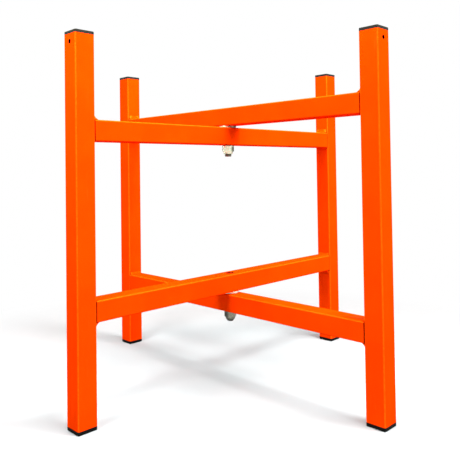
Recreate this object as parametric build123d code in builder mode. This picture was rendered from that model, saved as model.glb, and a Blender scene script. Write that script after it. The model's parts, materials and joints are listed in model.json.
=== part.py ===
"""Folding sawhorse: two welded H-frames of square steel tube, crossed and turning on two upright bolts.

Millimetres, +Z up. The origin is on the floor, on the pivot line. The stand is modelled open, with its
two frames at right angles and a post at each corner of a square.

The outer frame's rails are the highest and the lowest. The inner frame's rails lie between them. At each
pivot a bolt has its head inside the higher tube of the pair and its lock nut under the lower tube.
"""

import os
from math import cos, radians, sin, tan

from build123d import *

# Square tube, for the posts and the rails alike
tube = 40.0
wall = 2.5
corner_radius = 3.0
inner_radius = max(corner_radius - wall, 0.5)
tube_bore = tube - 2 * wall

# Frames
post_length = 714.0
post_pitch = 768.0
foot_reach = 161.0  # from the foot of the post tube to the middle of the outer frame's lower rail
head_reach = 132.0  # from the top of the post tube to the middle of the outer frame's upper rail
outer_heading = -45.0
inner_heading = 45.0

# Drain hole in the outward face of each post
drain_diameter = 8.0
drain_drop = 14.5  # below the top of the tube

# Fillet welds: the heavy ones are above the upper rails and below the lower rails
heavy_weld = 12.0
light_weld = 6.0
weld_hollow = 0.12  # how far a bead's face sinks in, as a share of its leg
weld_end_margin = 0.5  # bead end to the start of the tube's rounded corner

# Pivots
bolt_diameter = 16.0
bolt_clearance = 0.5  # radial, bolt in the tube walls and in the spacer washer
thread_clearance = 0.05  # radial, bolt in the nut and in the nylon ring
head_overhang = 4.0
head_height = 16.0
head_edge = 1.2
key_size = 14.0
key_depth = 8.0
key_hole_diameter = 20.0
bolt_projections = {"upper": 6.0, "lower": 4.0}  # bolt end below its nut
bolt_end_chamfer = 1.6
washer_diameter = 38.0
washer_thickness = 4.0
end_play = 0.15  # spacer washer to the tube above it and to the tube below it
nut_play = 0.2

# Lock nut
nut_wall = 4.0
nut_hex_height = 15.0
nut_height = 20.0
nut_face_chamfer = 0.75  # radial, hexagon flats down to the bearing face
nut_face_slope = 30.0
nut_turns = {"upper": -25.0, "lower": 12.0}  # degrees from a flat that faces -Y
collar_step = 1.2  # radial, hexagon flats to the round collar
collar_edge = 1.5
ring_wall = 2.2
ring_thickness = 3.2
ring_clearance = 0.05
lip_overlap = 1.3  # how far the collar's rim is crimped in over the ring

# Plastic end caps
top_flange = 6.0
foot_flange = 7.0
cap_edge = 1.5
cap_depth = 8.0  # short enough to leave the drain hole open
cap_wall = 2.0
fin_reach = 2.2
fin_clearance = 0.1
fin_thickness = 1.2
fin_depths = (1.2, 4.6)

# Levels, worked out from the sizes above
post_foot = foot_flange
post_top = post_foot + post_length
rail_gap = washer_thickness + 2 * end_play
rail_length = post_pitch - tube
outer_lower_level = post_foot + foot_reach
inner_lower_level = outer_lower_level + tube + rail_gap
outer_upper_level = post_top - head_reach
inner_upper_level = outer_upper_level - tube - rail_gap
nut_flats = bolt_diameter + 2 * nut_wall


def heading_vector(heading):
    """Level unit vector at a heading in degrees from +X."""
    return Vector(cos(radians(heading)), sin(radians(heading)), 0)


def post_plane(heading, level):
    """Level plane on a post's middle, with its x axis pointing away from the pivot line."""
    outward = heading_vector(heading)
    return Plane(origin=outward * (post_pitch / 2) + Vector(0, 0, level), x_dir=outward, z_dir=(0, 0, 1))


def post(heading):
    """Square tube post, with a drain hole through its outward wall only."""
    outward = heading_vector(heading)
    face_middle = outward * (post_pitch / 2 + tube / 2) + Vector(0, 0, post_top - drain_drop)
    with BuildPart() as tube_post:
        with BuildSketch(post_plane(heading, post_foot)):
            RectangleRounded(tube, tube, corner_radius)
            RectangleRounded(tube_bore, tube_bore, inner_radius, mode=Mode.SUBTRACT)
        extrude(amount=post_length)
        with BuildSketch(Plane(origin=face_middle, z_dir=outward)):
            Circle(drain_diameter / 2)
        extrude(amount=-tube / 2, mode=Mode.SUBTRACT)
    return tube_post.part


def rail(heading, level, top_hole, bottom_hole):
    """Square tube rail that butts against two posts, with a pivot hole through its top and bottom walls."""
    along = heading_vector(heading)
    with BuildPart() as tube_rail:
        with BuildSketch(Plane(origin=Vector(0, 0, level) - along * (rail_length / 2), z_dir=along)):
            RectangleRounded(tube, tube, corner_radius)
            RectangleRounded(tube_bore, tube_bore, inner_radius, mode=Mode.SUBTRACT)
        extrude(amount=rail_length)
        with BuildSketch(Plane.XY.offset(level + tube / 2)):
            Circle(top_hole / 2)
        extrude(amount=-tube / 2, mode=Mode.SUBTRACT)
        with BuildSketch(Plane.XY.offset(level - tube / 2)):
            Circle(bottom_hole / 2)
        extrude(amount=tube / 2, mode=Mode.SUBTRACT)
    return tube_rail.part


def rail_welds(heading, level, top_leg, bottom_leg):
    """The four fillet beads of one rail: above and below it, at each post."""
    bead_length = tube - 2 * corner_radius - 2 * weld_end_margin
    with BuildPart() as beads:
        for end_heading in (heading, heading + 180):
            outward = heading_vector(end_heading)
            for side, leg in ((1, top_leg), (-1, bottom_leg)):
                corner = outward * (rail_length / 2) + Vector(0, 0, level + side * tube / 2)
                section = Plane(origin=corner, x_dir=-outward, z_dir=Vector(0, 0, side).cross(outward))
                sink = leg * (0.5 - weld_hollow)
                with BuildSketch(section):
                    with BuildLine():
                        Polyline((0, leg), (0, 0), (leg, 0))
                        ThreePointArc((leg, 0), (sink, sink), (0, leg))
                    make_face()
                extrude(amount=bead_length / 2, both=True)
    return beads.part


def end_cap(end_plane, flange):
    """Square plastic insert: a flange over the tube's end and a hollow ribbed spigot inside it."""
    core = tube_bore - 2 * fin_reach
    fin_span = tube_bore - 2 * fin_clearance
    with BuildPart() as cap:
        with BuildSketch(end_plane):
            RectangleRounded(tube, tube, corner_radius)
        extrude(amount=flange)
        outer_face = cap.faces().sort_by(Axis(end_plane.origin, end_plane.z_dir))[-1]
        chamfer(outer_face.edges(), cap_edge)
        with BuildSketch(end_plane):
            Rectangle(core, core)
            Rectangle(core - 2 * cap_wall, core - 2 * cap_wall, mode=Mode.SUBTRACT)
        extrude(amount=-cap_depth)
        for depth in fin_depths:
            with BuildSketch(end_plane.offset(-depth)) as fin:
                Rectangle(fin_span, fin_span)
                chamfer(fin.vertices(), inner_radius)
                Rectangle(core - cap_wall, core - cap_wall, mode=Mode.SUBTRACT)
            extrude(amount=-fin_thickness)
    return cap.part


def pivot_bolt(seat, projection_end):
    """Socket head bolt that points down, its head on the inner floor of the higher tube at this level."""
    with BuildPart() as bolt:
        with BuildSketch(Plane.XY.offset(seat)):
            Circle(bolt_diameter / 2 + head_overhang)
        extrude(amount=head_height)
        chamfer(bolt.edges().filter_by(GeomType.CIRCLE).sort_by(Axis.Z)[-1], head_edge)
        with BuildSketch(Plane.XY.offset(seat + head_height)):
            RegularPolygon(key_size / 2, side_count=6, major_radius=False)
        extrude(amount=-key_depth, mode=Mode.SUBTRACT)
        with BuildSketch(Plane.XY.offset(seat)):
            Circle(bolt_diameter / 2)
        extrude(amount=projection_end - seat)
        chamfer(bolt.edges().filter_by(GeomType.CIRCLE).sort_by(Axis.Z)[0], bolt_end_chamfer)
    return bolt.part


def spacer_washer(level):
    """Thick flat washer that keeps two tubes apart, its underside at this level."""
    with BuildPart() as washer:
        with BuildSketch(Plane.XY.offset(level)):
            Circle(washer_diameter / 2)
            Circle(bolt_diameter / 2 + bolt_clearance, mode=Mode.SUBTRACT)
        extrude(amount=washer_thickness)
    return washer.part


def lock_nut(seat, turn):
    """Hexagon nut under a tube, with a round collar below it whose rim is crimped over a nylon ring."""
    flats_radius = nut_flats / 2
    face_radius = flats_radius - nut_face_chamfer
    corner_reach = flats_radius * 1.2
    slope_drop = (corner_reach - face_radius) * tan(radians(nut_face_slope))
    collar_radius = flats_radius - collar_step
    ring_radius = bolt_diameter / 2 + ring_wall + ring_clearance
    hex_floor = seat - nut_hex_height
    foot = seat - nut_height
    with BuildPart() as nut:
        with BuildSketch(Plane.XY.offset(hex_floor)):
            RegularPolygon(flats_radius, side_count=6, major_radius=False, rotation=turn)
        extrude(amount=nut_hex_height)
        with BuildSketch(Plane.XZ):
            with BuildLine():
                Polyline(
                    (0, seat),
                    (face_radius, seat),
                    (corner_reach, seat - slope_drop),
                    (corner_reach, hex_floor + slope_drop),
                    (face_radius, hex_floor),
                    (0, hex_floor),
                    close=True,
                )
            make_face()
        revolve(axis=Axis.Z, mode=Mode.INTERSECT)
        with BuildSketch(Plane.XY.offset(hex_floor)):
            Circle(collar_radius)
        extrude(amount=foot - hex_floor)
        chamfer(nut.edges().filter_by(GeomType.CIRCLE).sort_by(Axis.Z)[0], collar_edge)
        with BuildSketch(Plane.XY.offset(seat)):
            Circle(bolt_diameter / 2 + thread_clearance)
        extrude(amount=-nut_height, mode=Mode.SUBTRACT)
        with BuildSketch(Plane.XY.offset(hex_floor)):
            Circle(ring_radius)
        extrude(amount=-ring_thickness, mode=Mode.SUBTRACT)
        with BuildSketch(Plane.XY.offset(hex_floor)):
            Circle(ring_radius - lip_overlap)
        extrude(amount=foot - hex_floor, mode=Mode.SUBTRACT)
    return nut.part


def nut_ring(seat):
    """Nylon ring in the lock nut's collar, for the nut that seats at this level."""
    with BuildPart() as ring:
        with BuildSketch(Plane.XY.offset(seat - nut_hex_height)):
            Circle(bolt_diameter / 2 + ring_wall)
            Circle(bolt_diameter / 2 + thread_clearance, mode=Mode.SUBTRACT)
        extrude(amount=-ring_thickness)
    return ring.part


pieces = {}

# Posts, each with a cap in its top and in its foot
corners = {
    "inner_post_right_rear": inner_heading,
    "inner_post_left_front": inner_heading + 180,
    "outer_post_right_front": outer_heading,
    "outer_post_left_rear": outer_heading + 180,
}
for post_name, heading in corners.items():
    corner_name = post_name.split("_post_")[1]
    foot_plane = post_plane(heading, post_foot)
    pieces[post_name] = post(heading)
    downward = Plane(foot_plane.origin, foot_plane.x_dir, -foot_plane.z_dir)
    pieces["top_cap_" + corner_name] = end_cap(post_plane(heading, post_top), top_flange)
    pieces["foot_cap_" + corner_name] = end_cap(downward, foot_flange)

# Rails and their welds. The higher tube of each pair has a key hole above its bolt's head
bolt_hole = bolt_diameter + 2 * bolt_clearance
pieces["outer_rail_upper"] = rail(outer_heading, outer_upper_level, key_hole_diameter, bolt_hole)
pieces["inner_rail_upper"] = rail(inner_heading, inner_upper_level, bolt_hole, bolt_hole)
pieces["inner_rail_lower"] = rail(inner_heading, inner_lower_level, key_hole_diameter, bolt_hole)
pieces["outer_rail_lower"] = rail(outer_heading, outer_lower_level, bolt_hole, bolt_hole)
pieces["outer_welds_upper"] = rail_welds(outer_heading, outer_upper_level, heavy_weld, light_weld)
pieces["inner_welds_upper"] = rail_welds(inner_heading, inner_upper_level, heavy_weld, light_weld)
pieces["inner_welds_lower"] = rail_welds(inner_heading, inner_lower_level, light_weld, heavy_weld)
pieces["outer_welds_lower"] = rail_welds(outer_heading, outer_lower_level, light_weld, heavy_weld)

# Pivots: the bolt's head is in the higher tube, its nut is under the lower tube
pivots = {
    "upper": (outer_upper_level, inner_upper_level),
    "lower": (inner_lower_level, outer_lower_level),
}
for pivot_name, (higher_level, lower_level) in pivots.items():
    nut_seat = lower_level - tube / 2 - nut_play
    bolt_end = nut_seat - nut_height - bolt_projections[pivot_name]
    pieces[pivot_name + "_pivot_bolt"] = pivot_bolt(higher_level - tube / 2 + wall, bolt_end)
    pieces[pivot_name + "_spacer_washer"] = spacer_washer(lower_level + tube / 2 + end_play)
    pieces[pivot_name + "_lock_nut"] = lock_nut(nut_seat, nut_turns[pivot_name])
    pieces[pivot_name + "_nut_ring"] = nut_ring(nut_seat)

os.makedirs("parts", exist_ok=True)
for name, piece in pieces.items():
    piece.label = name
    export_step(piece, f"parts/{name}.step")
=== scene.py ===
"""Finish and fine shapes of the folding sawhorse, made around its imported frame.

Metres, +Z up. The origin is on the floor, on the line of the two pivot bolts. Each piece is made in its own
coordinates and then placed by its CAD node's box, so its patterns follow it when the stand folds.
"""

import json
import random
from math import cos, pi, radians, sin, sqrt, tau

import bmesh
import bpy
from mathutils import Matrix, Vector

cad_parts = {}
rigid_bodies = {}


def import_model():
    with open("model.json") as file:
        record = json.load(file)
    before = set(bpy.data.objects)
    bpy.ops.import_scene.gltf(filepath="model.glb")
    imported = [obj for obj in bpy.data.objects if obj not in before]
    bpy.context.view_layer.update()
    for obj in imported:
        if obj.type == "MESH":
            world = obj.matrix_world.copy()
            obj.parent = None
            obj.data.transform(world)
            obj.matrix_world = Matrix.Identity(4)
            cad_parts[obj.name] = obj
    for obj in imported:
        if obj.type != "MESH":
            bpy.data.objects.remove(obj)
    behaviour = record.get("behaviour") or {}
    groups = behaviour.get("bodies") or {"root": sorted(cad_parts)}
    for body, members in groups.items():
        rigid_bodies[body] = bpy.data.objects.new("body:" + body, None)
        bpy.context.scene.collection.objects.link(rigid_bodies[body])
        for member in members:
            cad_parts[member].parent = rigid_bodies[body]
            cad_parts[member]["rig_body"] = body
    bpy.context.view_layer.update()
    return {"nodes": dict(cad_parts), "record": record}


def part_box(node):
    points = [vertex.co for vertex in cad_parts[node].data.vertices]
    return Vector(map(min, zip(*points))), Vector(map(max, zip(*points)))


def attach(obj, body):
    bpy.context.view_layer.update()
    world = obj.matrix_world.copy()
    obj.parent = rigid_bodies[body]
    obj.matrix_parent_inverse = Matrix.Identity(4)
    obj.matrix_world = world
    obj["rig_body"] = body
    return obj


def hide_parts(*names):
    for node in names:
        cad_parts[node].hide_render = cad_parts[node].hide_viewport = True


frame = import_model()
nodes = frame["nodes"]
record = frame["record"]
mm = 0.001

# Sizes that a node's box doesn't give
tube_side = 40 * mm
tube_wall = 2.5 * mm
tube_corner = 3 * mm
rim_softness = 0.45 * mm  # how far the paint rounds off a cut edge
bolt_hole_radius = 8.5 * mm
key_hole_radius = 10 * mm
heavy_weld = 12 * mm
light_weld = 6 * mm
weld_length = 33 * mm
bolt_radius = 8 * mm
thread_bore = bolt_radius + 0.05 * mm
thread_pitch = 2 * mm
thread_depth = 1.1 * mm
thread_length = 38 * mm
head_radius = 12 * mm
head_height = 16 * mm
key_radius = 7 * mm
key_depth = 8 * mm
top_flange = 6 * mm
foot_flange = 7 * mm
nut_flats = 12 * mm  # from the nut's middle
nut_turns = {"upper": radians(17), "lower": radians(42)}  # from +X to the middle of one facet

# How finely round shapes are divided
bolt_points = 192
turned_points = 96
hole_points = 64

UP = Vector((0, 0, 1))


# ---------------------------------------------------------------- Shader nodes


class Tree:
    """A material's or the world's nodes.

    Inputs are given by name, or by number as i0, i1 and so on. A socket is linked, and any other value is set.
    """

    def __init__(self, owner):
        owner.use_nodes = True
        self.nodes = owner.node_tree.nodes
        self.links = owner.node_tree.links
        self.nodes.clear()

    def add(self, kind, _out=0, _set=None, **inputs):
        node = self.nodes.new("ShaderNode" + kind)
        for name, value in (_set or {}).items():
            setattr(node, name, value)
        for name, value in inputs.items():
            numbered = name[1:].isdigit()
            socket = node.inputs[int(name[1:]) if numbered else name.replace("_", " ")]
            if isinstance(value, bpy.types.NodeSocket):
                self.links.new(value, socket)
            else:
                socket.default_value = value
        return node.outputs[_out] if node.outputs else node

    def math(self, operation, a, b=0.0):
        return self.add("Math", _set={"operation": operation}, i0=a, i1=b)

    def split(self, vector):
        """The X, Y and Z parts of a vector."""
        return tuple(self.add("SeparateXYZ", i0=vector).node.outputs)

    def noise(self, place, scale, detail=2.0, roughness=0.5):
        return self.add("TexNoise", Vector=place, Scale=scale, Detail=detail, Roughness=roughness)

    def fade(self, value, low, high, to_low=0.0, to_high=1.0):
        """Smooth change from to_low to to_high while value goes from low to high."""
        settings = {"interpolation_type": "SMOOTHSTEP"}
        return self.add("MapRange", _set=settings, Value=value, i1=low, i2=high, i3=to_low, i4=to_high)

    def distance(self, place, spot, reach):
        """Distance from a spot, which is 1 at the reach given along each axis."""
        offset = self.add("VectorMath", _set={"operation": "SUBTRACT"}, i0=place, i1=spot)
        shrunk = self.add("VectorMath", _set={"operation": "DIVIDE"}, i0=offset, i1=reach)
        return self.add("VectorMath", "Value", _set={"operation": "LENGTH"}, i0=shrunk)

    def smear(self, place, spot, reach, scale, most=0.8):
        """A ragged patch round a spot, as strong as most, which fades out at about its reach along each axis."""
        raggedness = self.math("MULTIPLY", self.noise(place, scale, detail=4.0), 0.9)
        ragged = self.math("ADD", self.distance(place, spot, reach), raggedness)
        return self.fade(ragged, 1.5, 0.7, to_high=most)

    def mix(self, factor, a, b):
        """Colour a where the factor is 0, and colour b where it is 1."""
        return self.add("Mix", 2, _set={"data_type": "RGBA"}, i0=factor, i6=a, i7=b)

    def surface(self, tone, roughness, bump, **fixed):
        """Makes the material's surface. The fixed inputs are plain values."""
        shader = self.add("BsdfPrincipled", Base_Color=tone, Roughness=roughness, Normal=bump, **fixed)
        self.add("OutputMaterial", Surface=shader)


def rgb(red, green, blue):
    return (red, green, blue, 1.0)


def scaled(colour, factor):
    return rgb(*(factor * part for part in colour[:3]))


def new_material(name):
    """A material, its nodes, and the place of a point in the piece's own coordinates."""
    material = bpy.data.materials.new(name)
    tree = Tree(material)
    return material, tree, tree.add("TexCoord", "Object")


white = rgb(1.0, 1.0, 1.0)

# Tones of the powder coat
coat_even = (rgb(0.96, 0.044, 0.0), rgb(1.0, 0.051, 0.0))
coat_pale_fleck = rgb(1.0, 0.09, 0.002)
coat_red_fleck = rgb(0.8, 0.021, 0.0)
coat_corner_highlight = rgb(1.0, 0.12, 0.003)
coat_underside_shade = rgb(1.0, 0.014, 0.0)
coat_groove_shade = rgb(0.21, 0.0, 0.0)
coat_rubbed = rgb(1.0, 0.12, 0.011)
coat_stained = rgb(0.24, 0.054, 0.009)
coat_reflection = rgb(1.0, 0.086, 0.007)
bare_wall_in_shade = rgb(0.009, 0.006, 0.006)
dirt_and_shade = rgb(0.036, 0.034, 0.026)


def powder_coat(name, hole, butted=None, stain=None):
    """Satin orange powder coat: orange peel, cloudy tone, a painted highlight along the round corners, and painted
    shade in deep red in the grooves and on the faces that point down.

    The hole is a spot on the tube's face and its reach along each axis, round which the hole's wall is painted
    dark as in shade, and so is the stain. A tube of the length given by butted has both its ends against other
    tubes, and a band of painted shade at each.
    """
    material, tree, place = new_material(name)
    x, y, z = tree.split(place)
    across, through = tree.math("ABSOLUTE", x), tree.math("ABSOLUTE", y)
    facing_up = tree.split(tree.add("NewGeometry", "Normal"))[2]

    cloud = tree.noise(place, scale=11.0, detail=3.0, roughness=0.55)
    tone = tree.mix(tree.fade(cloud, 0.36, 0.66), *coat_even)
    flecks = tree.noise(place, scale=750.0, detail=3.0, roughness=0.65)
    tone = tree.mix(tree.fade(flecks, 0.54, 0.7, to_high=0.5), tone, coat_pale_fleck)
    tone = tree.mix(tree.fade(flecks, 0.46, 0.3, to_high=0.5), tone, coat_red_fleck)

    # Painted highlight: a lighter tone along the tube's rounded corners, broken up a little, and none where they
    # face down
    diagonal = tree.math("ADD", across, through)
    corner = tree.fade(diagonal, tube_side - 0.95 * tube_corner, tube_side - 0.58 * tube_corner)
    corner = tree.math("MULTIPLY", corner, tree.fade(facing_up, -0.6, 0.0))
    patchy = tree.noise(place, scale=240.0, detail=4.0, roughness=0.7)
    patchy = tree.fade(patchy, 0.35, 0.65, to_low=0.35, to_high=0.8)
    tone = tree.mix(tree.math("MULTIPLY", corner, patchy), tone, coat_corner_highlight)

    # Painted shade: a deeper red on the faces that point down
    tone = tree.mix(tree.fade(facing_up, -0.3, -0.9, to_high=0.75), tone, coat_underside_shade)

    # Painted shade, deep red, where two tubes or a weld and a tube meet: darker where the occlusion is close, and
    # in a thin band at each butted end; the coat also pools there
    groove_shade_strength = 0.92
    openness = tree.add("AmbientOcclusion", "AO", _set={"samples": 12}, Distance=5 * mm)
    groove = tree.fade(openness, 0.94, 0.6, to_high=groove_shade_strength)
    if butted:
        to_end = tree.math("MINIMUM", z, tree.math("SUBTRACT", butted, z))
        butted_end_shade = tree.fade(to_end, 1.5 * mm, 0.7 * mm, to_high=groove_shade_strength)
        groove = tree.math("MAXIMUM", groove, butted_end_shade)
    tone = tree.mix(groove, tone, coat_groove_shade)

    # Faint rubs that run along the tube
    stretched = tree.add("Mapping", Vector=place, Scale=(160.0, 160.0, 14.0))
    rub = tree.fade(tree.noise(stretched, scale=1.0, detail=4.0, roughness=0.6), 0.62, 0.78)
    tone = tree.mix(tree.math("MULTIPLY", rub, 0.22), tone, coat_rubbed)

    if stain:
        tone = tree.mix(tree.smear(place, *stain, scale=90.0), tone, coat_stained)

    # Bare steel inside the tube and on the walls of its holes, where no coat reaches, painted near black as in
    # shade
    half_bore = tube_side / 2 - 1.2 * mm
    drilled = tree.math("LESS_THAN", tree.distance(place, *hole), 1.0)
    inside = tree.math("LESS_THAN", tree.math("MAXIMUM", across, through), half_bore)
    tone = tree.mix(tree.math("MAXIMUM", inside, drilled), tone, bare_wall_in_shade)

    peel = tree.noise(place, scale=520.0, detail=2.0, roughness=0.45)
    grain = tree.noise(place, scale=2400.0, detail=1.0, roughness=0.5)
    relief = tree.math("ADD", peel, tree.math("MULTIPLY", grain, 0.3))
    bump = tree.add("Bump", Strength=0.7, Distance=0.4 * mm, Height=relief)
    sheen = tree.fade(tree.noise(place, scale=34.0, detail=3.0), 0.3, 0.7, to_low=0.32, to_high=0.44)
    sheen = tree.math("ADD", sheen, tree.math("MULTIPLY", rub, 0.15))
    tree.surface(
        tone, sheen, bump, Metallic=0.12, Specular_IOR_Level=0.0, Specular_Tint=coat_reflection,
    )
    return material


def black_plastic(name, dark, light, shine):
    """Moulded black polyethylene: fine pebble, uneven sheen, grey scuffs on the edges."""
    material, tree, place = new_material(name)
    edge = tree.fade(tree.add("NewGeometry", "Pointiness"), 0.51, 0.6)
    cloud = tree.noise(place, scale=60.0, detail=4.0, roughness=0.6)
    scuff = tree.fade(tree.noise(place, scale=420.0, detail=5.0, roughness=0.7), 0.5, 0.7)
    worn = tree.math("MAXIMUM", tree.math("MULTIPLY", edge, 0.5), tree.math("MULTIPLY", scuff, 0.4))
    tone = tree.mix(tree.fade(cloud, 0.35, 0.65), dark, light)
    tone = tree.mix(worn, tone, scaled(light, 2.2))
    pebble = tree.add("TexVoronoi", Vector=place, Scale=1500.0)
    bump = tree.add("Bump", Strength=0.6, Distance=0.15 * mm, Height=pebble)
    sheen = tree.fade(cloud, 0.3, 0.7, to_low=0.42, to_high=0.58)
    tree.surface(tone, sheen, bump, Specular_IOR_Level=shine)
    return material


def zinc_plate(name, bright, dull, metallic, shade_and_dirt_spots=()):
    """Zinc with a pale yellow passivation that varies, fine turning marks, and dark patches round the given spots
    that are painted shade and dark reflections, with some oily dirt.
    """
    material, tree, place = new_material(name)
    cloud = tree.noise(place, scale=130.0, detail=4.0, roughness=0.6)
    tone = tree.mix(tree.fade(cloud, 0.35, 0.65), bright, dull)
    spots = tree.fade(tree.noise(place, scale=700.0, detail=3.0, roughness=0.6), 0.6, 0.72)
    tone = tree.mix(tree.math("MULTIPLY", spots, 0.4), tone, scaled(dull, 0.7))
    # Dark patches round the spots: painted shade and dark reflections, and some oily dirt
    for spot, reach in shade_and_dirt_spots:
        tone = tree.mix(tree.smear(place, spot, reach, scale=400.0, most=0.94), tone, dirt_and_shade)
    turned = tree.add("Mapping", Vector=place, Scale=(60.0, 60.0, 5000.0))
    marks = tree.noise(turned, scale=1.0)
    bump = tree.add("Bump", Strength=0.18, Distance=0.05 * mm, Height=marks)
    sheen = tree.fade(cloud, 0.3, 0.7, to_low=0.22, to_high=0.36)
    sheen = tree.math("ADD", sheen, tree.math("MULTIPLY", spots, 0.15))
    tree.surface(tone, sheen, bump, Metallic=metallic)
    return material


def nylon(name):
    """Natural nylon, a little translucent, marked by the thread."""
    material, tree, place = new_material(name)
    cloud = tree.noise(place, scale=260.0, detail=3.0)
    tone = tree.mix(tree.fade(cloud, 0.35, 0.65), rgb(0.74, 0.77, 0.8), rgb(0.86, 0.87, 0.88))
    grooves = tree.add("Mapping", Vector=place, Scale=(1.0, 1.0, 1 / thread_pitch))
    bump = tree.add("Bump", Strength=0.2, Distance=0.1 * mm, Height=tree.noise(grooves, scale=2.0))
    sheen = tree.fade(cloud, 0.3, 0.7, to_low=0.35, to_high=0.5)
    tree.surface(tone, sheen, bump, Subsurface_Weight=0.15, Subsurface_Radius=(mm, mm, mm))
    return material


# ---------------------------------------------------------------- Mesh building


def rounded_square(half, radius, height, steps=8):
    """Ring of points round a square with round corners, anticlockwise, at a height."""
    reach = half - radius
    ring = []
    for quarter in range(4):
        turn = Matrix.Rotation(quarter * pi / 2, 3, "Z")
        for step in range(steps + 1):
            angle = step / steps * pi / 2
            ring.append(turn @ Vector((reach + radius * cos(angle), reach + radius * sin(angle), height)))
    return ring


def round_ring(radius, height, count):
    """Ring of points where radius is a length, or a function of the angle."""
    reach = radius if callable(radius) else lambda angle: radius
    return [
        Vector((reach(angle) * cos(angle), reach(angle) * sin(angle), height))
        for angle in (index / count * tau for index in range(count))
    ]


def join_rings(shape, pairs):
    """Adds a band of four-sided faces between each pair of rings of vertices."""
    for low, high in pairs:
        for index in range(len(low)):
            after = (index + 1) % len(low)
            shape.faces.new((low[index], low[after], high[after], high[index]))


def loft(name, rings, closed=False):
    """Mesh through rings that have as many points as each other. A closed one joins its last ring to its first."""
    shape = bmesh.new()
    loops = [[shape.verts.new(point) for point in ring] for ring in rings]
    pairs = list(zip(loops, loops[1:]))
    if closed:
        pairs.append((loops[-1], loops[0]))
    else:
        shape.faces.new(loops[0])
        shape.faces.new(loops[-1])
    join_rings(shape, pairs)
    return finish_mesh(name, shape)


def finish_mesh(name, shape):
    """Object of a bmesh, with its faces turned outwards and shaded smooth."""
    bmesh.ops.recalc_face_normals(shape, faces=shape.faces)
    mesh = bpy.data.meshes.new(name)
    shape.to_mesh(mesh)
    shape.free()
    for polygon in mesh.polygons:
        polygon.use_smooth = True
    piece = bpy.data.objects.new(name, mesh)
    bpy.context.scene.collection.objects.link(piece)
    return piece


def crisp(piece, angle):
    """Splits the shading at edges sharper than an angle in degrees."""
    piece.data.set_sharp_from_angle(angle=radians(angle))
    return piece


def settle(piece):
    """Replaces a piece's mesh with what its modifiers make of it."""
    bpy.context.view_layer.update()
    shown = piece.evaluated_get(bpy.context.evaluated_depsgraph_get())
    mesh = bpy.data.meshes.new_from_object(shown)
    mesh.name = piece.name
    piece.modifiers.clear()
    piece.data = mesh


def drill(piece, holes):
    """Cuts round holes: each is a start, a direction, a radius and a depth in the piece's own coordinates."""
    cutters = []
    for start, direction, radius, depth in holes:
        shape = bmesh.new()
        bmesh.ops.create_cone(
            shape, cap_ends=True, segments=hole_points, radius1=radius, radius2=radius, depth=2 * depth,
            matrix=Matrix.Translation(start) @ direction.to_track_quat("Z", "Y").to_matrix().to_4x4(),
        )
        cutter = finish_mesh("cutter", shape)
        cutters.append(cutter)
        modifier = piece.modifiers.new("hole", "BOOLEAN")
        modifier.solver = "EXACT"
        modifier.object = cutter
    soften(piece, rim_softness)
    settle(piece)
    for cutter in cutters:
        bpy.data.objects.remove(cutter)
    return piece


def soften(piece, width):
    """Rounds a piece's sharp edges and keeps its flat faces flat in the shading."""
    bevel = piece.modifiers.new("rounding", "BEVEL")
    bevel.width = width
    bevel.segments = 3
    bevel.limit_method = "ANGLE"
    bevel.angle_limit = radians(50)
    piece.modifiers.new("shading", "WEIGHTED_NORMAL")


def soft_least(a, b, blend):
    """The lesser of two lengths, rounded off where they are about equal."""
    share = max(blend - abs(a - b), 0) / blend
    return min(a, b) - share * share * blend / 4


def hexagon(flats_radius, turn=0.0):
    """Radius of a hexagon as a function of the angle."""
    return lambda angle: flats_radius / cos((angle - turn + pi / 6) % (pi / 3) - pi / 6)


# ---------------------------------------------------------------- Pieces


def square_tube(name, length, holes):
    """Square tube along Z from its own origin, with soft cut ends and drilled holes."""
    half = tube_side / 2
    bore = half - tube_wall
    inner_corner = tube_corner - tube_wall
    rings = [
        rounded_square(half, tube_corner, 0),
        rounded_square(half, tube_corner, length),
        rounded_square(bore, inner_corner, length),
        rounded_square(bore, inner_corner, 0),
    ]
    return drill(loft(name, rings, closed=True), holes)


def end_cap(name, flange):
    """Square insert: its flange is above its own origin and its ribbed hollow spigot below."""
    half = tube_side / 2
    bore = half - tube_wall
    edge = 1.5 * mm
    edge_steps = 4
    ease = 0.3 * mm
    core = bore - 2.2 * mm
    core_corner = 0.8 * mm
    fin = bore - 0.1 * mm
    fin_corner = 1.5 * mm
    hollow = core - 2 * mm
    hollow_corner = 0.6 * mm
    depth = 8 * mm

    # From the slightly sunk middle of the flange, out over its round edge
    rings = [
        rounded_square(12 * mm, 3 * mm, flange - 0.25 * mm),
        rounded_square(half - edge - 1 * mm, tube_corner, flange),
    ]
    for step in range(edge_steps + 1):
        angle = step / edge_steps * pi / 2
        inset = edge * (1 - sin(angle))
        rings.append(rounded_square(half - inset, tube_corner - inset, flange - edge * (1 - cos(angle))))
    rings += [
        rounded_square(half, tube_corner, ease),
        rounded_square(half - ease, tube_corner - ease, 0),
        rounded_square(core, core_corner, 0),
    ]

    # Down the spigot with its two fins, and up again inside it
    for fin_top in (-1.2 * mm, -4.6 * mm):
        rings += [
            rounded_square(core, core_corner, fin_top),
            rounded_square(fin, fin_corner, fin_top - 0.25 * mm),
            rounded_square(fin, fin_corner, fin_top - 0.65 * mm),
            rounded_square(core, core_corner, fin_top - 1.2 * mm),
        ]
    rings += [
        rounded_square(core, core_corner, ease - depth),
        rounded_square(core - ease, core_corner, -depth),
        rounded_square(hollow, hollow_corner, -depth),
        rounded_square(hollow, hollow_corner, 0),
    ]
    return crisp(loft(name, rings), angle=40)


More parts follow.
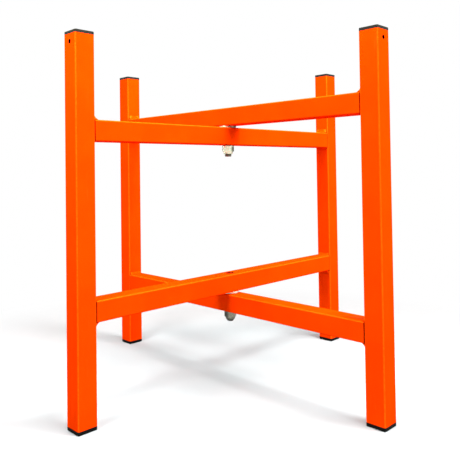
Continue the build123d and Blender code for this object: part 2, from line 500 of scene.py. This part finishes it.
def weld_bead(shape, corner, inward, outward_side, leg, rng):
    """Adds one fillet bead to a bmesh, in a corner between a tube's end and a post, with the welder's ripples."""
    across = inward.cross(outward_side)
    steps, slices = 12, 80
    tuck = 0.25 * mm  # how far the bead's edges go into the tubes
    ripple = rng.uniform(0.16, 0.24) * mm
    pitch = rng.uniform(2.3, 2.9) * mm
    phase = rng.random()
    bow = rng.uniform(0.5, 0.9)
    end_radius = 2.6 * mm
    end_size = 0.12
    swell, swell_angle = 0.03, 9  # share of the leg, and radians along the bead
    fullness = 0.24  # of the face between its two toes: less is more hollow
    rows = []
    for index in range(slices + 1):
        place = (index / slices - 0.5) * weld_length
        to_end = min((weld_length / 2 - abs(place)) / end_radius, 1)
        size = leg * (end_size + (1 - end_size) * sqrt(1 - (1 - to_end) ** 2))
        size *= 1 + swell * sin(place / weld_length * swell_angle + phase * tau)
        row = []
        for step in range(steps + 1):
            t = step / steps
            run = (1 - t) ** 2 * size + 2 * t * (1 - t) * fullness * size
            rise = t * t * size + 2 * t * (1 - t) * fullness * size
            wave = (place / pitch + phase + bow * (2 * t - 1) ** 2) % 1
            lift = ripple * (1 - (2 * wave - 1) ** 2) * sin(pi * t) * to_end
            flat = lift / sqrt(2) - tuck * (2 * t - 1) ** 8
            row.append(shape.verts.new(
                corner + inward * (run + flat) + outward_side * (rise + flat) + across * place
            ))
        row.append(shape.verts.new(corner - (inward + outward_side) * tuck + across * place))
        rows.append(row)
    join_rings(shape, zip(rows, rows[1:]))
    shape.faces.new(rows[0])
    shape.faces.new(rows[-1])


def rail_welds(name, half_length, top_leg, bottom_leg, seed):
    """The four beads of one rail that lies along Z, with the rail's upward side at +Y."""
    rng = random.Random(seed)
    shape = bmesh.new()
    side = Vector((0, 1, 0))
    for end in (1, -1):
        for facing, leg in ((1, top_leg), (-1, bottom_leg)):
            corner = UP * end * half_length + side * facing * tube_side / 2
            weld_bead(shape, corner, -UP * end, side * facing, leg, rng)
    return finish_mesh(name, shape)


def pivot_bolt(name, length):
    """Socket head bolt that points down from its own origin, the middle of its head's top."""
    knurls, knurl_depth = 24, 0.012
    socket = hexagon(key_radius)
    seat = -head_height

    def knurled(angle):
        return head_radius * (1 - knurl_depth * abs(sin(knurls * angle)))

    rings = [round_ring(radius, height, bolt_points) for radius, height in (
        (0.4 * mm, -key_depth - 1.5 * mm),
        (lambda angle: 0.97 * socket(angle), -key_depth),
        (socket, -key_depth + 0.3 * mm),
        (socket, -0.4 * mm),
        (lambda angle: socket(angle) + 0.4 * mm, 0),
        (head_radius - 1.2 * mm, 0),
        (head_radius - 0.35 * mm, -0.35 * mm),
        (knurled, -1.2 * mm),
        (knurled, seat + 1.6 * mm),
        (head_radius, seat + 1.2 * mm),
        (head_radius, seat + 0.3 * mm),
        (head_radius - 0.3 * mm, seat),
        (bolt_radius + 0.6 * mm, seat),
        (bolt_radius, seat - 0.6 * mm),
    )]

    # The thread deepens over its first two turns and runs out at the chamfered end
    slices_per_turn, run_in_slices = 8, 16
    thread_top = thread_length - length
    slices = round(thread_length / (thread_pitch / slices_per_turn))
    for index in range(slices + 1):
        height = thread_top - index / slices * thread_length
        run_in = min(index / run_in_slices, 1)
        end_cone = bolt_radius - 1.8 * mm + (height + length) * 1.1

        def profile(angle):
            wave = (height / thread_pitch - angle / tau) % 1
            groove = max(0, 1 - abs(2 * wave - 1) * 1.25)
            return soft_least(bolt_radius - run_in * thread_depth * groove, end_cone, 0.3 * mm)

        rings.append(round_ring(profile, height, bolt_points))
    rings.append(round_ring(bolt_radius - 3.4 * mm, -length, bolt_points))
    rings.append(round_ring(bolt_radius - 5 * mm, -length + 0.15 * mm, bolt_points))
    return crisp(loft(name, rings), angle=50)


def lathe(name, outline):
    """Ring-shaped solid turned from a closed outline of (radius, height) points."""
    rings = [round_ring(radius, height, turned_points) for radius, height in outline]
    return crisp(loft(name, rings, closed=True), angle=35)


def spacer_washer(name, radius, thickness):
    """Thick flat washer on its own origin, its edges eased by the press and the plating."""
    bore = bolt_hole_radius
    ease = 0.5 * mm
    bulge = 0.15 * mm
    outline = [
        (bore + ease, 0), (radius - ease, 0), (radius - bulge, bulge), (radius, ease),
        (radius, thickness - ease), (radius - bulge, thickness - bulge), (radius - ease, thickness),
        (bore + ease, thickness), (bore, thickness - ease), (bore, ease),
    ]
    return lathe(name, outline)


def lock_nut(name, flats_radius, height, turn):
    """Hexagon nut that hangs from its own origin: a chamfered hexagon, and a round collar crimped over a ring."""
    hex_height = 15 * mm
    hex_slices = 40
    face_radius = flats_radius - 0.75 * mm
    chamfer = 1.2 * mm
    collar = flats_radius - 1.2 * mm
    crimp = 2.4 * mm
    crimp_steps = 6
    ease = 0.3 * mm
    lip = bolt_radius + 1.35 * mm
    ring_seat = bolt_radius + 2.25 * mm
    ring_floor = -hex_height - 3.2 * mm
    outline = hexagon(flats_radius, turn)

    def body_ring(depth):
        room = min(depth, hex_height - depth)
        cone = face_radius + 0.1 * mm + room * sqrt(3)
        return round_ring(lambda angle: soft_least(outline(angle), cone, 0.6 * mm), -depth, bolt_points)

    rings = [
        round_ring(thread_bore, -hex_height, bolt_points),
        round_ring(thread_bore, -chamfer, bolt_points),
        round_ring(thread_bore + chamfer, 0, bolt_points),
        round_ring(face_radius - 0.2 * mm, 0, bolt_points),
    ]
    rings += [body_ring(index / hex_slices * hex_height) for index in range(hex_slices + 1)]
    rings.append(round_ring(collar + 0.25 * mm, -hex_height, bolt_points))
    rings.append(round_ring(collar, -hex_height - ease, bolt_points))
    for step in range(crimp_steps + 1):
        angle = step / crimp_steps * pi / 2
        radius = collar - crimp * (1 - cos(angle))
        rings.append(round_ring(radius, -height + crimp * (1 - sin(angle)), bolt_points))
    rings += [
        round_ring(lip + ease, -height, bolt_points),
        round_ring(lip, -height + ease, bolt_points),
        round_ring(lip, ring_floor, bolt_points),
        round_ring(ring_seat, ring_floor, bolt_points),
        round_ring(ring_seat, -hex_height, bolt_points),
    ]
    return crisp(loft(name, rings, closed=True), angle=38)


def nut_ring(name, radius, thickness):
    """Nylon ring that stands on its own origin."""
    bore = thread_bore
    ease = 0.3 * mm
    outline = [
        (bore + ease, 0), (radius - ease, 0), (radius, ease), (radius, thickness - ease),
        (radius - ease, thickness), (bore + ease, thickness), (bore, thickness - ease), (bore, ease),
    ]
    return lathe(name, outline)


# ---------------------------------------------------------------- Placing


def middle(node):
    low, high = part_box(node)
    return (low + high) / 2


def upright(node, origin_height, x_axis=Vector((1, 0, 0))):
    """Placement over the middle of a node, with Z up and X along a level direction."""
    centre = middle(node)
    axes = Matrix((x_axis, UP.cross(x_axis), UP)).transposed().to_4x4()
    return Matrix.Translation((centre.x, centre.y, origin_height)) @ axes


def lying(node, along):
    """Placement at the middle of a rail: Z along the rail and Y up."""
    axes = Matrix((UP.cross(along), UP, along)).transposed().to_4x4()
    return Matrix.Translation(middle(node)) @ axes


def put(piece, placement, material, node):
    """Places a piece, gives it its material, and lets it ride in place of its CAD node."""
    piece.matrix_world = placement
    piece.data.materials.clear()
    piece.data.materials.append(material)
    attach(piece, nodes[node]["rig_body"])
    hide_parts(node)


def spot_and_reach(spot, reach):
    """A place in millimetres on a piece, and how far from it something reaches along each axis."""
    return tuple(tuple(part * mm for part in values) for values in (spot, reach))


# One black plastic for all caps: the feet's is a darker copy, painted shade for the contact shadow they stand in
top_plastic = black_plastic(
    "top_cap_plastic", rgb(0.009, 0.0085, 0.007), rgb(0.015, 0.0145, 0.012), shine=0.04,
)
foot_plastic_shaded = black_plastic(
    "foot_cap_plastic_shaded", rgb(0.0025, 0.0025, 0.0025), rgb(0.005, 0.005, 0.0044), shine=0.03,
)
# Painted light and shade: the washers are a darker and a lighter copy of one zinc plate, and the upper one has a
# painted dark end
washer_zinc = {
    "upper": zinc_plate(
        "upper_washer_zinc", rgb(0.6, 0.57, 0.38), rgb(0.5, 0.47, 0.29), metallic=0.3,
        shade_and_dirt_spots=[spot_and_reach((16, -6, 2), (10, 12, 8))],
    ),
    "lower": zinc_plate("lower_washer_zinc", rgb(0.84, 0.82, 0.66), rgb(0.74, 0.72, 0.56), metallic=0.3),
}
# Painted shade: the bolts are toned dark, and the lower bolt is a darker copy of the upper
bolt_zinc = {
    "upper": zinc_plate("upper_bolt_zinc", rgb(0.22, 0.205, 0.16), rgb(0.14, 0.13, 0.1), metallic=0.6),
    "lower": zinc_plate("lower_bolt_zinc", rgb(0.1, 0.097, 0.09), rgb(0.065, 0.063, 0.057), metallic=0.6),
}
# Painted light and shade: the upper nut is a bright copy of the zinc and the lower nut a dark one; their dark
# spots are painted shade and dark reflections on the facets, with some oily dirt on the collars
nut_zinc = {
    "upper": zinc_plate(
        "upper_nut_zinc", rgb(0.92, 1.0, 0.76), rgb(0.86, 0.94, 0.68), metallic=0.8,
        shade_and_dirt_spots=[
            spot_and_reach((13, -3, -9), (11, 14, 14)),
            spot_and_reach((-14, -3, -8), (6, 12, 13)),
            spot_and_reach((0, 0, -18.5), (15, 15, 3)),
        ],
    ),
    "lower": zinc_plate(
        "lower_nut_zinc", rgb(0.29, 0.305, 0.23), rgb(0.22, 0.23, 0.17), metallic=0.6,
        shade_and_dirt_spots=[
            spot_and_reach((-11, -8.5, -8), (11, 11, 18)),
            spot_and_reach((0, 0, -21), (18, 18, 10)),
        ],
    ),
}
ring_nylon = nylon("nylon_finish")

face = tube_side / 2  # from a tube's middle to its face
hole_depth = tube_side / 4  # from the face that a hole is drilled in
# A hole's wall is painted near black as in shade, this far in from its face
wall_reach = 6 * mm  # how far in from its face a hole's wall is bare

# Posts and caps
bores = [mount for mount in record["mounts"] if mount["kind"] == "bore"]
drains = {mount["name"].removeprefix("drain_hole_"): mount for mount in bores}
posts = {"right_rear": "inner", "left_front": "inner", "right_front": "outer", "left_rear": "outer"}
drain_radius = drains["left_front"]["dims"]["r_mm"] * mm
drain_height = drains["left_front"]["pos_m"][2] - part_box("inner_post_left_front")[0].z
drain_rim = drain_radius + 0.25 * mm
drain_wall_shade = ((face, 0.0, drain_height), (wall_reach, drain_rim, drain_rim))
coat = powder_coat("orange_powder_coat_finish", drain_wall_shade)
for corner, side in posts.items():
    node = f"{side}_post_{corner}"
    low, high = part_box(node)
    outward = Vector(drains[corner]["axis"])
    drain = (Vector((face, 0, drain_height)), Vector((1, 0, 0)), drain_radius, hole_depth)
    post = square_tube(f"{corner}_post", high.z - low.z, [drain])
    put(post, upright(node, low.z, outward), coat, node)
    top_cap = end_cap(f"{corner}_top_cap", top_flange)
    put(top_cap, upright(node, high.z, outward), top_plastic, f"top_cap_{corner}")
    foot_cap = end_cap(f"{corner}_foot_cap", foot_flange)
    upside_down = upright(node, low.z, outward) @ Matrix.Rotation(pi, 4, "X")
    put(foot_cap, upside_down, foot_plastic_shaded, f"foot_cap_{corner}")

# Rails and welds. The higher rail of each crossing has the key hole
key_rails = (("outer", "upper"), ("inner", "lower"))
stained_rail = ("outer", "lower")
for side, far_corner in (("outer", "right_front"), ("inner", "right_rear")):
    for level in ("upper", "lower"):
        node = f"{side}_rail_{level}"
        low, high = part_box(node)
        along = Vector(drains[far_corner]["axis"])
        length = (high.x - low.x) * sqrt(2) - tube_side
        top_radius = key_hole_radius if (side, level) in key_rails else bolt_hole_radius
        holes = [
            (Vector((0, face, length / 2)), Vector((0, 1, 0)), top_radius, hole_depth),
            (Vector((0, -face, length / 2)), Vector((0, 1, 0)), bolt_hole_radius, hole_depth),
        ]
        rail = square_tube(f"{side}_{level}_rail", length, holes)
        stain = None
        if (side, level) == stained_rail:
            stain = ((0.0, face, length - 24 * mm), (9 * mm, 9 * mm, 34 * mm))
        top_rim = top_radius + 0.3 * mm
        top_hole_wall_shade = ((0.0, face, length / 2), (top_rim, wall_reach, top_rim))
        rail_coat = powder_coat(f"{side}_{level}_rail_finish", top_hole_wall_shade, length, stain)
        placement = lying(node, along)
        put(rail, placement @ Matrix.Translation((0, 0, -length / 2)), rail_coat, node)
        legs = (heavy_weld, light_weld) if level == "upper" else (light_weld, heavy_weld)
        welds = rail_welds(f"{side}_{level}_welds", length / 2, *legs, seed=f"{side} {level}")
        put(welds, placement, coat, f"{side}_welds_{level}")

# Pivots
for level in ("upper", "lower"):
    node = f"{level}_pivot_bolt"
    low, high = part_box(node)
    bolt = pivot_bolt(f"{level}_bolt", high.z - low.z)
    put(bolt, upright(node, high.z), bolt_zinc[level], node)

    node = f"{level}_spacer_washer"
    low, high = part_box(node)
    washer = spacer_washer(f"{level}_washer", (high.x - low.x) / 2, high.z - low.z)
    put(washer, upright(node, low.z), washer_zinc[level], node)

    node = f"{level}_lock_nut"
    low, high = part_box(node)
    nut = lock_nut(f"{level}_nut", nut_flats, high.z - low.z, nut_turns[level])
    put(nut, upright(node, high.z), nut_zinc[level], node)

    node = f"{level}_nut_ring"
    low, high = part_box(node)
    ring = nut_ring(f"{level}_ring", (high.x - low.x) / 2, high.z - low.z)
    put(ring, upright(node, low.z), ring_nylon, node)


# ---------------------------------------------------------------- Stage, light and camera


def seen_directly(tree):
    """1 for camera, mirror and see-through rays, 0 for the rays that carry light."""
    path = tree.nodes.new("ShaderNodeLightPath")
    shiny = tree.math("MAXIMUM", path.outputs["Is Glossy Ray"], path.outputs["Is Transmission Ray"])
    return tree.math("MAXIMUM", path.outputs["Is Camera Ray"], shiny)


def floor_material():
    """White floor. To the camera it fades to plain white away from the stand, and its shadows are kept.

    Under the stand its tone is a little green and blue, against the orange light that the coat throws on it.
    """
    material, tree, place = new_material("floor")
    flat = tree.add("VectorMath", _set={"operation": "MULTIPLY"}, i0=place, i1=(1.0, 1.0, 0.0))
    distance = tree.add("VectorMath", "Value", _set={"operation": "LENGTH"}, i0=flat)
    under_stand, outside = rgb(0.372, 0.406, 0.411), rgb(0.391, 0.391, 0.391)
    matt = tree.add("BsdfDiffuse", Color=tree.mix(tree.fade(distance, 0.34, 0.6), under_stand, outside))
    plain_white = tree.add("Emission", Color=white, Strength=1.0)
    faded = tree.add("MixShader", Fac=tree.fade(distance, 0.6, 1.0), i1=matt, i2=plain_white)
    bounce = tree.add("BsdfDiffuse", Color=rgb(0.2, 0.2, 0.2))
    shader = tree.add("MixShader", Fac=seen_directly(tree), i1=bounce, i2=faded)
    tree.add("OutputMaterial", Surface=shader)
    return material


floor_radius = 40
ground = bmesh.new()
bmesh.ops.create_circle(ground, cap_ends=True, segments=96, radius=floor_radius)
stage_floor = finish_mesh("floor", ground)
stage_floor.data.materials.append(floor_material())

world = bpy.data.worlds.new("studio")
bpy.context.scene.world = world
sky = Tree(world)
lit = sky.add("Background", Color=white, Strength=0.32)
shown = sky.add("Background", Color=white, Strength=1.0)
sky.add("OutputWorld", Surface=sky.add("MixShader", Fac=seen_directly(sky), i1=lit, i2=shown))

lamp_aim = Vector((0, 0, 0.4))


def area_light(name, toward, distance, size, watts):
    """Square lamp at a distance from its aim, in a direction given as azimuth and elevation in degrees."""
    azimuth, elevation = (radians(angle) for angle in toward)
    direction = Vector((cos(azimuth) * cos(elevation), sin(azimuth) * cos(elevation), sin(elevation)))
    lamp = bpy.data.lights.new(name, "AREA")
    lamp.shape = "SQUARE"
    lamp.size = size
    lamp.energy = watts
    holder = bpy.data.objects.new(name, lamp)
    holder.location = lamp_aim + direction * distance
    holder.rotation_euler = direction.to_track_quat("Z", "Y").to_euler()
    bpy.context.scene.collection.objects.link(holder)


area_light("key", toward=(-28, 64), distance=2.2, size=0.4, watts=42)
area_light("wide_fill", toward=(-35, 40), distance=2.0, size=1.6, watts=86)
area_light("left_fill", toward=(-135, 40), distance=1.2, size=0.5, watts=21)
area_light("top_fill", toward=(-90, 85), distance=1.2, size=0.9, watts=18)
area_light("rear_fill", toward=(135, 18), distance=2.5, size=1.0, watts=36)

# The camera stands in front, a little above the middle of the stand, and its picture is shifted to fit the stand
camera_place = (0.0009, -1.3374, 0.4701)
yaw, pitch, roll = radians(-0.0264), radians(1.3038), radians(-0.7993)
forward = Vector((sin(yaw) * cos(pitch), cos(yaw) * cos(pitch), sin(pitch)))
level_right = Vector((cos(yaw), -sin(yaw), 0))
level_up = level_right.cross(forward)
view_right = level_right * cos(roll) + level_up * sin(roll)
view_up = view_right.cross(forward)
view_axes = Matrix((view_right, view_up, -forward)).transposed().to_4x4()
camera_data = bpy.data.cameras.new("camera")
camera_data.sensor_width = 36
camera_data.lens = 45.459
camera_data.shift_x = 0.0038
camera_data.shift_y = -0.1613
camera_data.clip_start = 0.05
camera_data.clip_end = 200
camera = bpy.data.objects.new("camera", camera_data)
camera.matrix_world = Matrix.Translation(camera_place) @ view_axes
bpy.context.scene.collection.objects.link(camera)
bpy.context.scene.camera = camera
bpy.context.scene.view_settings.view_transform = "Standard"
